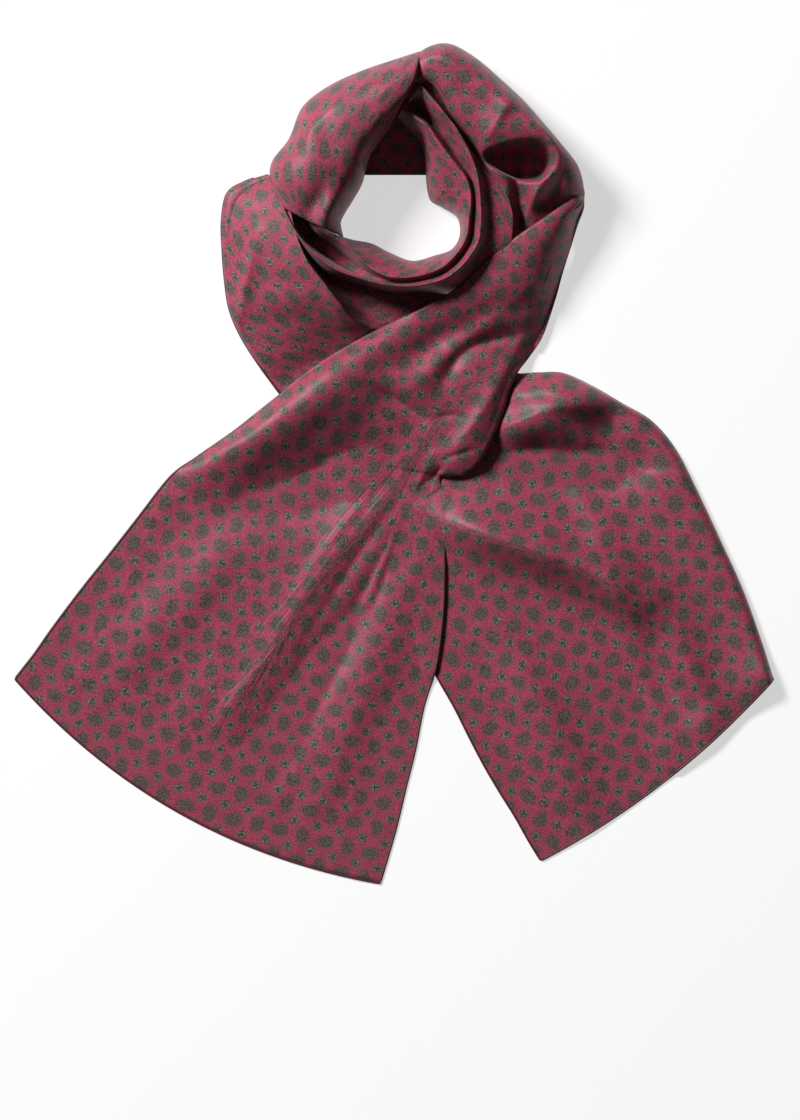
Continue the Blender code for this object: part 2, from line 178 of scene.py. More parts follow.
def printStraight(grid, anchor, degrees, shift=(0.0, 0.0)):  # one direction, true widths down the walls
    run = np.array([math.cos(math.radians(degrees)), math.sin(math.radians(degrees))])
    along = grid[..., 0] * run[0] + grid[..., 1] * run[1]
    beside = grid[..., 1] * run[0] - grid[..., 0] * run[1]
    step = np.linalg.norm(np.diff(grid, axis=1), axis=-1)
    step = np.sqrt(np.maximum(step**2 - np.diff(along, axis=1) ** 2, 0.01 * step**2))
    step *= np.sign((beside[:, -1] - beside[:, 0]).mean())
    across = np.concatenate([np.zeros((len(grid), 1)), np.cumsum(step, axis=1)], axis=1)
    across += (beside - across)[:, anchor:anchor + 1]
    return np.stack([across + shift[0], along + shift[1]], -1)


# cloth pieces

def shell(grid, thick):  # both faces of the cloth and the rim between them
    rows, columns = grid.shape[:2]
    n = normals(grid)
    points = np.concatenate([(grid + n * thick / 2).reshape(-1, 3), (grid - n * thick / 2).reshape(-1, 3)])
    number = np.arange(rows * columns).reshape(rows, columns)
    face = np.stack([number[:-1, :-1], number[:-1, 1:], number[1:, 1:], number[1:, :-1]], -1).reshape(-1, 4)
    back = face[:, ::-1] + rows * columns
    loop = np.concatenate([number[0, :-1], number[:-1, -1], number[-1, :0:-1], number[:0:-1, 0]])
    after = np.roll(loop, -1)
    rim = np.stack([loop, loop + rows * columns, after + rows * columns, after], -1)
    return points, np.concatenate([face, back, rim])


def addObject(name, data):
    made = bpy.data.objects.new(name, data)
    bpy.context.scene.collection.objects.link(made)
    return made


def clothPiece(name, grid, prints, other=None, share=None, creased=None):
    points, faces = shell(grid, silkThick)
    mesh = bpy.data.meshes.new(name)
    mesh.from_pydata((points * mm).tolist(), [], faces.tolist())
    mesh.shade_smooth()
    other = prints if other is None else other
    share = np.full(grid.shape[:2], -1.0) if share is None else share
    creased = np.full(grid.shape[:2], plainCrinkle) if creased is None else creased
    for attribute, values in (("printHere", prints), ("printBeyond", other)):
        flat = np.pad(values.reshape(-1, 2), ((0, 0), (0, 1)))
        both = np.concatenate([flat, flat]).ravel()
        mesh.attributes.new(attribute, "FLOAT_VECTOR", "POINT").data.foreach_set("vector", both)
    for attribute, values in (("printShare", share), ("creased", creased)):
        both = np.concatenate([values.ravel(), values.ravel()])
        mesh.attributes.new(attribute, "FLOAT", "POINT").data.foreach_set("value", both)
    piece = addObject(name, mesh)
    piece.data.materials.append(silk)
    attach(piece, "root")
    side = np.linalg.norm(np.cross(grid[1:, :-1] - grid[:-1, :-1], grid[:-1, 1:] - grid[:-1, :-1]), axis=-1)
    print(f"{name}: {len(faces) * 2} triangles, cloth {side.sum() * 1e-6:.4f} m2")
    return piece


# shader maths

class Number:  # a socket that takes part in Python expressions
    def __init__(self, shader, socket):
        self.shader, self.socket = shader, socket

    def math(self, operation, *others):
        return self.shader.math(operation, self, *others)

    def __add__(self, other):
        return self.math("ADD", other)

    def __sub__(self, other):
        return self.math("SUBTRACT", other)

    def __rsub__(self, other):
        return self.shader.math("SUBTRACT", other, self)

    def __mul__(self, other):
        return self.math("MULTIPLY", other)

    def __truediv__(self, other):
        return self.math("DIVIDE", other)

    __radd__, __rmul__ = __add__, __mul__

    def floor(self):
        return self.math("FLOOR")

    def root(self):
        return self.math("SQRT")

    def clipped(self):
        return self.math("MINIMUM", 1.0).math("MAXIMUM", 0.0)

    def below(self, limit, soft):  # 1 under the limit, 0 above, eased over soft
        sockets = {"Value": self, "From Min": limit - soft, "From Max": limit + soft,
                   "To Min": 1.0, "To Max": 0.0}
        made = self.shader.node("ShaderNodeMapRange", {"interpolation_type": "SMOOTHSTEP"}, sockets)
        return Number(self.shader, made.outputs[0])


class Tree:  # a node tree of any kind
    def __init__(self, tree):
        self.tree = tree

    def node(self, kind, settings=None, sockets=None):
        made = self.tree.nodes.new(kind)
        for name, value in (settings or {}).items():
            setattr(made, name, value)
        for name, value in (sockets or {}).items():
            self.feed(made.inputs[name], value)
        return made

    def feed(self, socket, value):
        value = value.socket if isinstance(value, Number) else value
        if isinstance(value, bpy.types.NodeSocket):
            self.tree.links.new(value, socket)
        else:
            socket.default_value = value


class Shader(Tree):
    def __init__(self, name):
        self.material = bpy.data.materials.new(name)
        self.material.use_nodes = True
        super().__init__(self.material.node_tree)
        self.principled = self.tree.nodes["Principled BSDF"]

    def math(self, operation, *values):
        made = self.node("ShaderNodeMath", {"operation": operation}, dict(enumerate(values)))
        return Number(self, made.outputs[0])

    def mixed(self, share, first, second):  # colours
        made = self.node("ShaderNodeMix", {"data_type": "RGBA"}, {0: share, 6: first, 7: second})
        return made.outputs[2]

    def noise(self, vector, scale, detail):
        sockets = {"Vector": vector, "Scale": scale, "Detail": detail}
        return Number(self, self.node("ShaderNodeTexNoise", sockets=sockets).outputs[0])

    def attribute(self, name, output):
        return self.node("ShaderNodeAttribute", {"attribute_name": name}).outputs[output]

    def bump(self, height, strength, distance):
        sockets = {"Strength": strength, "Distance": distance, "Height": height}
        return self.node("ShaderNodeBump", sockets=sockets).outputs[0]

    def set(self, **values):
        for name, value in values.items():
            self.feed(self.principled.inputs[name.replace("_", " ")], value)


def rgb(red, green, blue):  # screen colour to the shader's own
    def linear(v):
        v /= 255
        return v / 12.92 if v <= 0.04045 else ((v + 0.055) / 1.055) ** 2.4
    return (linear(red), linear(green), linear(blue), 1.0)


silkLook = {
    "ground": rgb(170, 67, 92), "groundDeep": rgb(116, 47, 64),
    "motif": rgb(100, 86, 84), "motifDark": rgb(60, 50, 50),
    "dot": rgb(110, 101, 92), "dotHeart": rgb(54, 51, 47), "speck": rgb(142, 136, 112),
    "across": 15.4, "along": 17.2, "halfWide": 4.7, "halfLong": 6.2, "dotRadius": 3.8, "tilt": 10.0,
    "lean": 0.015, "fuller": 0.1, "ragged": 0.6,
    "motifEdge": (0.94, 0.32), "dotEdge": (0.88, 0.32), "heartEdge": (0.26, 0.14),  # where, and how soft
    "rough": 0.5, "crinkle": 0.65,
}


def makeSilk(look):
    s = Shader("printed silk")
    share = Number(s, s.attribute("printShare", "Fac")).clipped()
    chosen = s.node("ShaderNodeMix", {"data_type": "VECTOR"}, {
        0: share, 4: s.attribute("printHere", "Vector"), 5: s.attribute("printBeyond", "Vector")})
    parts = s.node("ShaderNodeSeparateXYZ", sockets={0: chosen.outputs[1]})
    across, along = Number(s, parts.outputs[0]), Number(s, parts.outputs[1])
    a, b = across / look["across"], along / look["along"]
    column, row = (a + 0.5).floor(), (b + 0.5).floor()
    offA, offB = (a - column) * look["across"], (b - row) * look["along"]
    odd = (column + row).math("PINGPONG", 1.0)
    x = offA + odd * (offB - offA)
    y = offB + odd * (0 - offA - offB)
    tilt = math.radians(look["tilt"])
    x, y = x * math.cos(tilt) - y * math.sin(tilt), x * math.sin(tilt) + y * math.cos(tilt)
    x = x + y * y * look["lean"] - 0.18  # the tips lean over
    wide = 1.0 - y * (look["fuller"] / look["halfLong"])  # one end is fuller
    x, y = x / (wide * look["halfWide"]), y / look["halfLong"]
    ring = (x * x + y * y).root()
    halfA, halfB = (a - a.floor() - 0.5) * look["across"], (b - b.floor() - 0.5) * look["along"]
    dot = (halfA * halfA + halfB * halfB).root() / look["dotRadius"]
    place = s.node("ShaderNodeTexCoord").outputs["Object"]
    mottle = s.noise(place, 60.0, 3.0)
    grain = s.noise(place, 900.0, 2.0)
    flecks = (grain * 4.0 - 1.5).clipped()
    uneven = (s.noise(place, 600.0, 3.0) - 0.5) * look["ragged"]
    colour = s.mixed((mottle * 0.7 + flecks * 0.7 - 0.2).clipped(), look["groundDeep"], look["ground"])
    motif = s.mixed(flecks, look["motifDark"], look["motif"])
    colour = s.mixed((ring + uneven).below(*look["motifEdge"]), colour, motif)
    spot = s.mixed(flecks, look["dotHeart"], look["dot"])
    colour = s.mixed((dot + uneven).below(*look["dotEdge"]), colour, spot)
    colour = s.mixed((dot + uneven).below(*look["heartEdge"]) * 0.8, colour, look["dotHeart"])
    paleRing = ((dot - 0.46) * (dot - 0.46) * 60.0).below(0.5, 0.5)  # half way out from the dot's heart
    colour = s.mixed(paleRing * (grain * 5.0 - 2.6).clipped(), colour, look["speck"])
    strands = s.node("ShaderNodeCombineXYZ", sockets={0: across / 5.0, 1: along / 70.0}).outputs[0]
    creased = Number(s, s.attribute("creased", "Fac"))
    wave = s.noise(strands, 1.0, 1.5)
    crisp = ((wave - 0.5) * (wave - 0.5) * 180.0).below(0.5, 0.5)  # thin lines at the waves' middle
    height = (wave * 1.2 + crisp * 0.2) * creased * look["crinkle"] + grain * 0.06  # in mm
    rough = grain * 0.10 + (look["rough"] - 0.05)
    s.set(Base_Color=colour, Roughness=rough, Normal=s.bump(height, 1.0, mm))
    s.set(Specular_IOR_Level=0.28, Sheen_Weight=0.10, Sheen_Roughness=0.4, Sheen_Tint=(1.0, 0.72, 0.80, 1.0))
    return s.material


# painted shade: the rolled hem and its stitches are real, but their dark red, far darker than the silk's
# ground, stands in for the shade along the edges
def makeHemSilkPaintedShade():
    s = Shader("rolled hem silk with painted shade")
    grain = s.noise(s.node("ShaderNodeTexCoord").outputs["Object"], 700.0, 3.0)
    s.set(Base_Color=s.mixed(grain, rgb(58, 22, 32), rgb(92, 34, 50)), Roughness=grain * 0.2 + 0.42)
    s.set(Normal=s.bump(grain, 0.2, 0.0003))
    return s.material


silk = makeSilk(silkLook)
hemSilkPaintedShade = makeHemSilkPaintedShade()
print("materials made")


# the back tail, with the strip turned under along its right side

backEdges = table(
    "leftX leftY rightX rightY bow",
    [
        (-73.6, 43.7, 51.6, 107.6, 0),
        (-60, 28, 60, 95, 0),
        (-46, 8, 68, 82, 0),
        (-32, -14, 74, 70, 0),
        (-18, -38, 80, 60, 0),
        (-6, -62, 95, 60, 0),
        (5, -86, 112, 59.5, 0),
        (15, -110, 131, 51, 0),
        (26, -136, 150, 40, 0),
        (40, -161, 170, 28, 0),
        (50, -181, 186, 9, 1),
        (60, -200, 200, -18, 3),
        (70, -217, 215, -50, 5),
        (80, -233, 230, -83, 7),
        (89, -249, 242, -116, 8),
        (97, -262, 250.3, -142, 9),
    ],
)
backFolds = {
    "run of the shoulder": ([(-64, 60, 8), (-44, 44, 7), (-22, 20, 4), (4, -20, 0)], 22, 17),
    "first ridge": ([(22, -30, 1), (60, -46, 7), (100, -60, 8), (138, -72, 1)], 12, 11),
    "second ridge": ([(104, -62, 2), (140, -80, 6), (176, -101, 1)], 14, 11),
    "upper hollow bank": ([(66, 12, 2), (92, 22, 7), (116, 14, 5), (146, 12, 2)], 10, 13),
    "flap": ([(84, 46, 6), (104, 48, 7), (128, 40, 4)], 8, 9),
    "fold side": ([(128, 46, 4), (176, 14, 5), (206, -38, 5), (232, -96, 5), (244, -130, 6)], 16, 30),
    "end ripple": ([(176, -96, 1), (192, -132, 5), (204, -166, 4), (206, -186, 2)], 13, 16),
    "low ripple": ([(70, -120, 1), (92, -156, 4), (112, -196, 4), (130, -236, 1)], 15, 20),
}
backCreases = {  # what the solid is too plain for
    "first crest": ([(33, -38, 5), (60, -46, 11), (80, -53, 12), (104, -61, 11), (134, -70, 7),
                     (158, -86, 1)], 30, 18, 0.25),
    "second crest": ([(112, -66, 1), (140, -80, 7), (160, -91, 8), (182, -104, 2)], 24, 15),
    "flap edge": ([(64, 16, 2), (74, 23, 9), (88, 30, 15), (102, 35, 16), (118, 38, 13), (132, 38, 7),
                   (146, 34, 0)], 16, 24, 0.4),
    "hollow below the flap": ([(72, 3, -5), (94, 3, -10), (116, 1, -11), (138, -3, -9),
                               (156, -4, -4)], 22, 14),
    "soft dark": ([(166, -104, -1), (178, -138, -3.5), (196, -158, -3)], 12, 12),
    "corner lift": ([(226, -150, 1), (246, -142, 4)], 14, 20),
}
turnInnerEdge = [
    (98, 60), (104, 40), (110.5, 22.6), (118, -5), (130, -30), (140, -58), (148, -85),
    (159, -114), (170, -143), (178, -172), (183, -194),
]
backTailSize = {
    "rows": 200, "columns": 120, "turnedColumns": 24, "edgeRound": 7.0, "turnEase": 9.0,
    "rim": 1.2, "lowest": 0.5, "turnedHeight": 0.45, "ripple": 0.35,
    "turnRow": 6, "turnFrom": 5.2, "turnWhole": 6.5,  # rows of backEdges where the strip turns under
}
backPrint = {  # lines that the print runs along, where the two agree, and where one takes over
    "lower": [(-20, -8), (40, -116), (97, -219), (125, -270)],
    "upper": [(20, 10), (80, -22), (118, -42), (150, -64), (180, -96), (215, -140), (235, -170)],
    "agree": (190, -150),
    "change": [(10, -22), (33, -38), (60, -48), (80, -56), (104, -66), (134, -76), (160, -98),
               (190, -140), (212, -180)],
}
overBack = {"start": [(-130.0, 120.0), (-112.0, 100.0)], "points": 11, "ease": 7.0, "clearance": 0.9}


def backHeight(x, y):
    lift = [(px, py, layerStep) for px, py in turnInnerEdge]
    raised = fold(x, y, lift, levelSide, backTailSize["turnEase"])
    return clothWall / 2 + folds(x, y, backFolds) + raised


def liftOverBack(x, y):  # how high the front tail must be to clear the cloth below
    edge = np.stack([backEdges["leftX"], backEdges["leftY"]], 1)
    line = np.concatenate([overBack["start"], edge])[:overBack["points"]]
    beside = fold(x, y, np.column_stack([line, np.ones(len(line))]), levelSide, overBack["ease"])
    return beside * (backHeight(x, y) - clothWall / 2 + layerStep + overBack["clearance"])


def stripInPlan(rows, count, columns, crowd=0.0):
    s = sections(rows, count)
    even = np.linspace(0, 1, columns)
    u = (even - crowd * np.sin(2 * math.pi * even) / (2 * math.pi))[None, :]
    x = s["leftX"] * (1 - u) + s["rightX"] * u
    y = s["leftY"] * (1 - u) + s["rightY"] * u
    runX, runY = s["rightX"] - s["leftX"], s["rightY"] - s["leftY"]
    length = np.hypot(runX, runY)
    ahead = s["bow"] * 4 * u * (1 - u)
    return s, u, x + ahead * runY / length, y - ahead * runX / length


def makeBackTail():
    size = backTailSize
    _, _, x, y = stripInPlan(backEdges, size["rows"], size["columns"])
    z = backHeight(x, y) + folds(x, y, backCreases)
    z += size["ripple"] * wander(x, y, 26, 3, 2.5, math.radians(-50)) * smooth(x + y, -60, 20)
    fromFold = np.hypot(x - x[:, -1:], y - y[:, -1:])
    rounding = np.sqrt(1 - (1 - np.clip(fromFold / size["edgeRound"], 0, 1)) ** 2)
    rim = size["rim"]
    z = rim + (np.maximum(z, clothWall / 2) - rim) * np.where(x > 70, rounding, 1.0)
    top = np.stack([x, y, np.maximum(z, size["lowest"])], -1)
    inner = through(np.array(turnInnerEdge, float)[1:], size["rows"])
    lastRow = len(backEdges["leftX"]) - 1
    rows = np.linspace(0, lastRow, size["rows"])
    shareDown = np.clip((rows - size["turnRow"]) / (lastRow - size["turnRow"]), 0, 1)
    evenRows = np.linspace(0, 1, size["rows"])
    inner = np.stack([np.interp(shareDown, evenRows, inner[:, k]) for k in (0, 1)], -1)
    turned = smooth(rows, size["turnFrom"], size["turnWhole"])[:, None]
    w = np.linspace(0, 1, size["turnedColumns"] + 1)[None, 1:]
    underX = x[:, -1:] * (1 - w * turned) + inner[:, :1] * w * turned
    underY = y[:, -1:] * (1 - w * turned) + inner[:, 1:] * w * turned
    underX -= 0.4 * w * (1 - turned)  # above the turned strip the columns stay apart
    under = np.stack([underX, underY, np.full(underX.shape, size["turnedHeight"])], -1)
    grid = np.concatenate([top, under], 1)
    px, py = grid[..., 0], grid[..., 1]
    lower = printAlong(px, py, backPrint["lower"], (8, 3))
    upper = agreeAt(lower, printAlong(px, py, backPrint["upper"], (5, 9)), grid, backPrint["agree"])
    reach = 4 + 60 * smooth(px - py, 200, 330)  # the change is soft towards the end
    away = awayFrom(px, py, backPrint["change"], 60)
    piece = clothPiece("backTail", grid, lower, upper, 0.5 + away / reach)
    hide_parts("back_tail", "back_tail_turn")
    return piece, grid[:, :size["columns"]]


backTail, backTop = makeBackTail()


# the front tail, over everything

frontEdges = table(
    "leftX leftY leftZ rightX rightY rightZ bow",
    [
        (124.5, 181, 6, 125.5, 176, 3, 0),
        (120, 175.5, 24, 125, 168, 9, 0),
        (109, 168, 30, 121, 157, 8, 0),
        (93, 157, 31, 116, 141, 5, 0),
        (77, 146, 30, 111, 125, 3, 0),
        (60, 132.5, 28, 106, 107, 2.5, 0),
        (41, 115, 25, 98, 84, 2.5, 0),
        (20, 102.5, 22, 89, 70, 4, 0),
        (0, 93, 19, 81.5, 60, 10, 0),
        (-20, 83, 17, 76.5, 49, 12, 0),
        (-40, 71.5, 16, 71.5, 32, 12, 0),
        (-60, 58, 14, 65, 17, 12, 0),
        (-76, 45, 10, 57, 2, 11, 0),
        (-90, 34, 6, 47, -7, 9, 0),
        (-104, 23, 3.5, 37.5, -8.5, 7, 0),
        (-118, 13, 2.2, 30.5, -9, 5, 0),
        (-132, 3, 1.4, 31, -18, 3.5, 0),
        (-148, -9, 1.0, 33, -36, 3, 0),
        (-170, -37, 0.8, 33.5, -70, 2.6, 1),
        (-188, -60, 0.8, 32.5, -100, 2.2, 3),
        (-204, -80, 0.8, 28, -134, 1.4, 6),
        (-217, -97, 0.8, 20, -160, 0.8, 10),
        (-228, -112, 0.8, 14, -190, 0.8, 14),
        (-237, -125, 0.8, 8, -214, 0.8, 18),
        (-244, -134, 0.8, 1, -243, 0.8, 21),
        (-250.3, -142, 0.8, -9, -277.2, 0.8, 24),
    ],
)
frontFolds = {
    "crown over the crossing": ([(100, 128, 3), (62, 92, 3.5), (20, 46, 4), (-14, 8, 2)], 26, 24),
    "roll": ([(96, 110, 2), (84, 76, 3), (68, 44, 4), (50, 14, 4), (36, -1, 3)], 17, 12),
    "upper valley": ([(104, 108, -2), (70, 101, -4), (38, 86, -5), (8, 68, -4), (-20, 56, -1)], 9, 10),
    "second valley": ([(84, 86, -2), (60, 80, -3), (43, 70, -3), (30, 50, -1)], 7, 8),
    "short crease": ([(-16, 51, -1), (0, 43, -3), (20, 31, -1)], 6, 6),
    "top edge bank": ([(-144, -10, 1), (-122, 3, 9), (-94, 20, 16), (-52, 44, 17), (-8, 68, 9),
                       (24, 88, 0)], 42, 26),
    "long ridge": ([(4, 0, 0.5), (-36, -54, 4.5), (-72, -108, 4.5), (-104, -152, 3.5),
                    (-132, -187, 0)], 26, 40),
    "low swell": ([(-70, -20, 1), (-120, -70, 4), (-168, -118, 3), (-190, -140, 1)], 22, 20),
    "flare swell": ([(20, -52, 1), (2, -96, 3), (-22, -150, 4), (-46, -214, 2)], 16, 20),
    "dip beside the flare": ([(12, -24, -2), (8, -50, -2), (0, -84, 0)], 8, 8),
}
frontCreases = {
    "dark slope": ([(8, 20, -2), (-24, -4, -7), (-58, -18, -7), (-96, -26, -4), (-132, -36, -1)], 20, 18),
    "long crest": ([(28, 28, 0.5), (4, -8, 1), (-20, -40, 1.3), (-40, -62, 1.5), (-62, -92, 1.6),
                    (-80, -122, 1.5), (-97, -146, 1.2), (-116, -170, 0.6), (-132, -190, 0.1)], 4, 6, 0.85),
    "crest left of it": ([(6, 6, 0.4), (-20, -26, 0.9), (-46, -58, 0.9), (-68, -88, 0.3)], 3, 5, 0.8),
    "crease right of it": ([(10, -16, -0.5), (-12, -44, -1.6), (-36, -80, -1.6),
                            (-62, -122, -0.6)], 3.5, 4, 0.7),
    "second crease right": ([(20, -12, -0.5), (2, -44, -1.2), (-20, -84, -1.4),
                             (-38, -118, -0.4)], 3.5, 4, 0.7),
    "crest beside the tuck": ([(26, 6, 1), (12, -22, 1.8), (-4, -58, 1.8), (-18, -92, 0.6)], 4, 3, 0.7),
    "tuck": ([(30, -4, -3), (21, -17, -3.5), (13, -32, -3), (7, -44, -1.5), (-3, -66, -1.6),
              (-13, -94, -0.5)], 3, 3, 0.8),
    "long dark slope": ([(-14, -86, -1), (-44, -130, -4), (-74, -176, -4), (-104, -218, -1)], 12, 16),
    "upper tuck": ([(-15, 51, -1), (0, 42.5, -3), (18, 31, -1.5)], 2.5, 6, 0.7),
    "knot tuck": ([(28, 30, -1), (36, 31.5, -2), (44, 31, -0.5)], 2, 3, 0.7),
    "roll tuck": ([(33, 3, -1), (46, 7, -2), (62, 11, -0.5)], 2, 3, 0.7),
    "second shadow": ([(86, 86, -1), (60, 80, -2), (45, 72, -2.5), (37, 62, -2),
                       (30, 50, -0.5)], 4, 6, 0.4),
    "strip ridge": ([(92, 118, 0.5), (60, 92, 1.5), (30, 66, 1.5), (6, 44, 0.5)], 7, 6, 0.3),
    "roll ridge": ([(88, 92, 0.5), (74, 62, 1.5), (58, 34, 1.8), (42, 12, 1)], 5, 5, 0.5),
}
frontTailSize = {
    "rows": 270, "columns": 126, "crowd": 0.3, "edgeRound": 6.0, "lowest": 0.35, "ripple": 0.3,
    "curlSteps": 6, "backSteps": (0.35, 0.7, 1.0), "leastCurl": 0.25,
    "mostCurl": {"left": 1.6, "right": 4.0}, "creasedWide": 24.0, "creasedMost": 0.6,
}
frontPrint = {  # as for the back tail
    "here": [(110, 152), (60, 101), (12, 50), (-42, -13), (-98, -83), (-146, -145), (-178, -196)],
    "beyond": [(60, 40), (34, 8), (16, -26), (4, -66), (-8, -116), (-20, -170), (-44, -262)],
    "agree": (-128, -205),
    "change": [(60, 60), (28, 24), (4, -12), (-20, -44), (-40, -66), (-62, -96), (-80, -126), (-97, -150),
               (-116, -176), (-140, -214), (-160, -250)],
    "clothAt": ([-100, 80, 170, 600], [-120, 96, 195, 625]),  # places along it, and the cloth's own
}


def roundUnder(edge, outward, radius, steps):  # the cloth goes round and under its edge
    return [np.concatenate([edge[:, :2] + outward * radius * math.sin(angle),
                            edge[:, 2:] - radius * (1 - math.cos(angle))], 1)
            for angle in np.linspace(0, math.pi, steps + 1)[1:]]


def curlUnder(edge, outward, radius, size):  # round the edge and then a little way back
    reach = 0.3 + 3.0 * radius
    back = [np.concatenate([edge[:, :2] - outward * reach * share, edge[:, 2:] - 2 * radius], 1)
            for share in size["backSteps"]]
    return np.stack(roundUnder(edge, outward, radius, size["curlSteps"]) + back, 1)


def makeFrontTail():
    size = frontTailSize
    rows = {name: values.copy() for name, values in frontEdges.items()}
    run = np.stack([rows["rightX"] - rows["leftX"], rows["rightY"] - rows["leftY"]], -1)
    width = np.linalg.norm(run, axis=-1)
    run /= width[:, None]
    curl = {}
    for side, sign in (("left", 1), ("right", -1)):
        spare = rows[side + "Z"] - 0.4 - liftOverBack(rows[side + "X"], rows[side + "Y"])
        curl[side] = np.minimum(np.clip(spare / 2, size["leastCurl"], size["mostCurl"][side]), 0.2 * width)
        rows[side + "X"] += sign * run[:, 0] * curl[side]
        rows[side + "Y"] += sign * run[:, 1] * curl[side]
    s, u, x, y = stripInPlan(rows, size["rows"], size["columns"], size["crowd"])
    span = through(width, size["rows"])[:, None]
    rise = (1 - np.exp(-u * span / size["edgeRound"])) * (1 - np.exp((u - 1) * span / size["edgeRound"]))
    fall = u ** (1 + 1.6 * smooth(y, 60, 120))  # by the ring it stays high and drops at its side
    own = s["leftZ"] * (1 - fall) + s["rightZ"] * fall
    own += rise * (folds(x, y, frontFolds) + folds(x, y, frontCreases))
    own += rise * size["ripple"] * wander(x, y, 22, 11, 3.0, math.radians(55))
    own = np.maximum(own, clothWall / 2)
    z = evenMax(own, liftOverBack(x, y), 0.7)
    core = np.stack([x, y, z], -1)
    radius = {side: through(curl[side], size["rows"])[:, None] for side in curl}
    outward = through(run, size["rows"])
    right = curlUnder(core[:, -1], outward, radius["right"], size)
    left = curlUnder(core[:, 0], -outward, radius["left"], size)[:, ::-1]
    grid = np.concatenate([left, core, right], 1)
    grid[..., 2] = np.maximum(grid[..., 2], size["lowest"])
    px, py = grid[..., 0], grid[..., 1]
    here = printAlong(px, py, frontPrint["here"])
    gathered = 1.2 - 0.2 * smooth(here[..., 1], 60, 170)  # at the crossing the print is closer together
    here = np.stack([here[..., 0] * gathered, np.interp(here[..., 1], *frontPrint["clothAt"])], -1)
    beyond = agreeAt(here, printAlong(px, py, frontPrint["beyond"], (3, 6)), grid, frontPrint["agree"])
    away = awayFrom(px, py, frontPrint["change"], 80)
    reach = 3.0 + 110 * smooth(-py, 120, 230)
    creased = np.exp(-((away + 6) / size["creasedWide"]) ** 2) * smooth(py, -220, -120) * smooth(-py, -50, 10)
    creased *= size["creasedMost"] * (0.75 + 0.5 * wander(px, py, 34, 5, 2.0, math.radians(55)))
    piece = clothPiece("frontTail", grid, here, beyond, 0.5 + away / reach, plainCrinkle + creased)
    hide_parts("front_tail")
    margin = size["curlSteps"] + len(size["backSteps"])
    return piece, grid[:, margin:-margin]


frontTail, frontTop = makeFrontTail()


# the left shoulder

shoulderEdges = table(
    "outX outY outZ topX topY topZ edgeX edgeY edgeZ inX inY inZ",
    [
        (-84, 190.5, 4, -80, 189, 9, -72, 185, 20, -58, 181, 6),
        (-99, 185.5, 1.2, -94, 182, 6, -69, 171, 30, -52, 168, 5),
        (-110, 178, 1.0, -104, 172, 6, -66, 157, 34, -48, 156, 4),
        (-113.5, 160, 1.0, -108, 155, 6, -62, 143.5, 37, -42, 146, 3),
        (-113, 140, 1.0, -107.5, 136, 6, -56, 131, 39, -34, 137, 1.5),
        (-111.5, 121, 1.0, -106, 118, 6, -46.5, 118.5, 38, -20, 130, 1.2),
        (-108.5, 102, 1.0, -103, 100, 6, -37, 106.5, 36, 0, 127, 1.2),
        (-101, 84, 1.0, -95, 84, 7, -26, 94.5, 25, 22, 126, 1.2),
        (-89, 65, 1.0, -79, 69, 9, -13, 89, 15, 44, 130, 1.5),
        (-74, 44.5, 0.8, -64, 51, 4.5, 2, 84.5, 5, 60, 132, 1.4),
    ],
)
shoulderFolds = {
    "thin ridge": ([(-90, 152, 1.5), (-97, 120, 3), (-102, 95, 1.5)], 6, 6),
    "valley": ([(-84, 50, -3), (-66, 58, -6), (-50, 68, -7), (-38, 76, -5), (-28, 82, -1)], 26, 10),
}
shoulderCreases = {
    "thin crest": ([(-91, 154, 0.5), (-95, 134, 1.2), (-98, 116, 1.5), (-102, 96, 0.7)], 3, 2.5, 0.9),
    "lower shade": ([(-92, 96, -0.5), (-70, 96, -2.5), (-48, 102, -1.5)], 8, 8),
}
shoulderSize = {
    "rows": 100, "outerSteps": 22, "flatSteps": 46, "dropSteps": 22, "dropCrowd": 1.8, "edgeSharp": 9,
    "lowest": 0.6, "printColumn": 42,
}


def makeShoulder():
    size = shoulderSize
    s = sections(shoulderEdges, size["rows"])
    up = np.linspace(0, math.pi / 2, size["outerSteps"] + 1)[None, :]
    flat = np.linspace(0, 1, size["flatSteps"] + 1)[None, 1:]
    drop = (np.linspace(0, 1, size["dropSteps"] + 1)[None, 1:]) ** size["dropCrowd"]
    x, y = (
        np.hstack([
            between(s, "out", "top", axis, 1 - np.cos(up)),
            between(s, "top", "edge", axis, flat),
            between(s, "edge", "in", axis, drop),
        ])
        for axis in "XY"
    )
    z = np.hstack([
        between(s, "out", "top", "Z", np.sin(up)),
        between(s, "top", "edge", "Z", flat),
        between(s, "in", "edge", "Z", (1 - drop) ** size["edgeSharp"]),
    ])
    z += folds(x, y, shoulderFolds) + folds(x, y, shoulderCreases)
    grid = np.stack([x, y, np.maximum(z, size["lowest"])], -1)
    piece = clothPiece("leftShoulder", grid, printByShape(grid, size["printColumn"], (4, 2)))
    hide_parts("left_shoulder")
    return piece, grid


leftShoulder, shoulderGrid = makeShoulder()


# the loop: out is a wall's foot outside, top its crest, in its foot inside

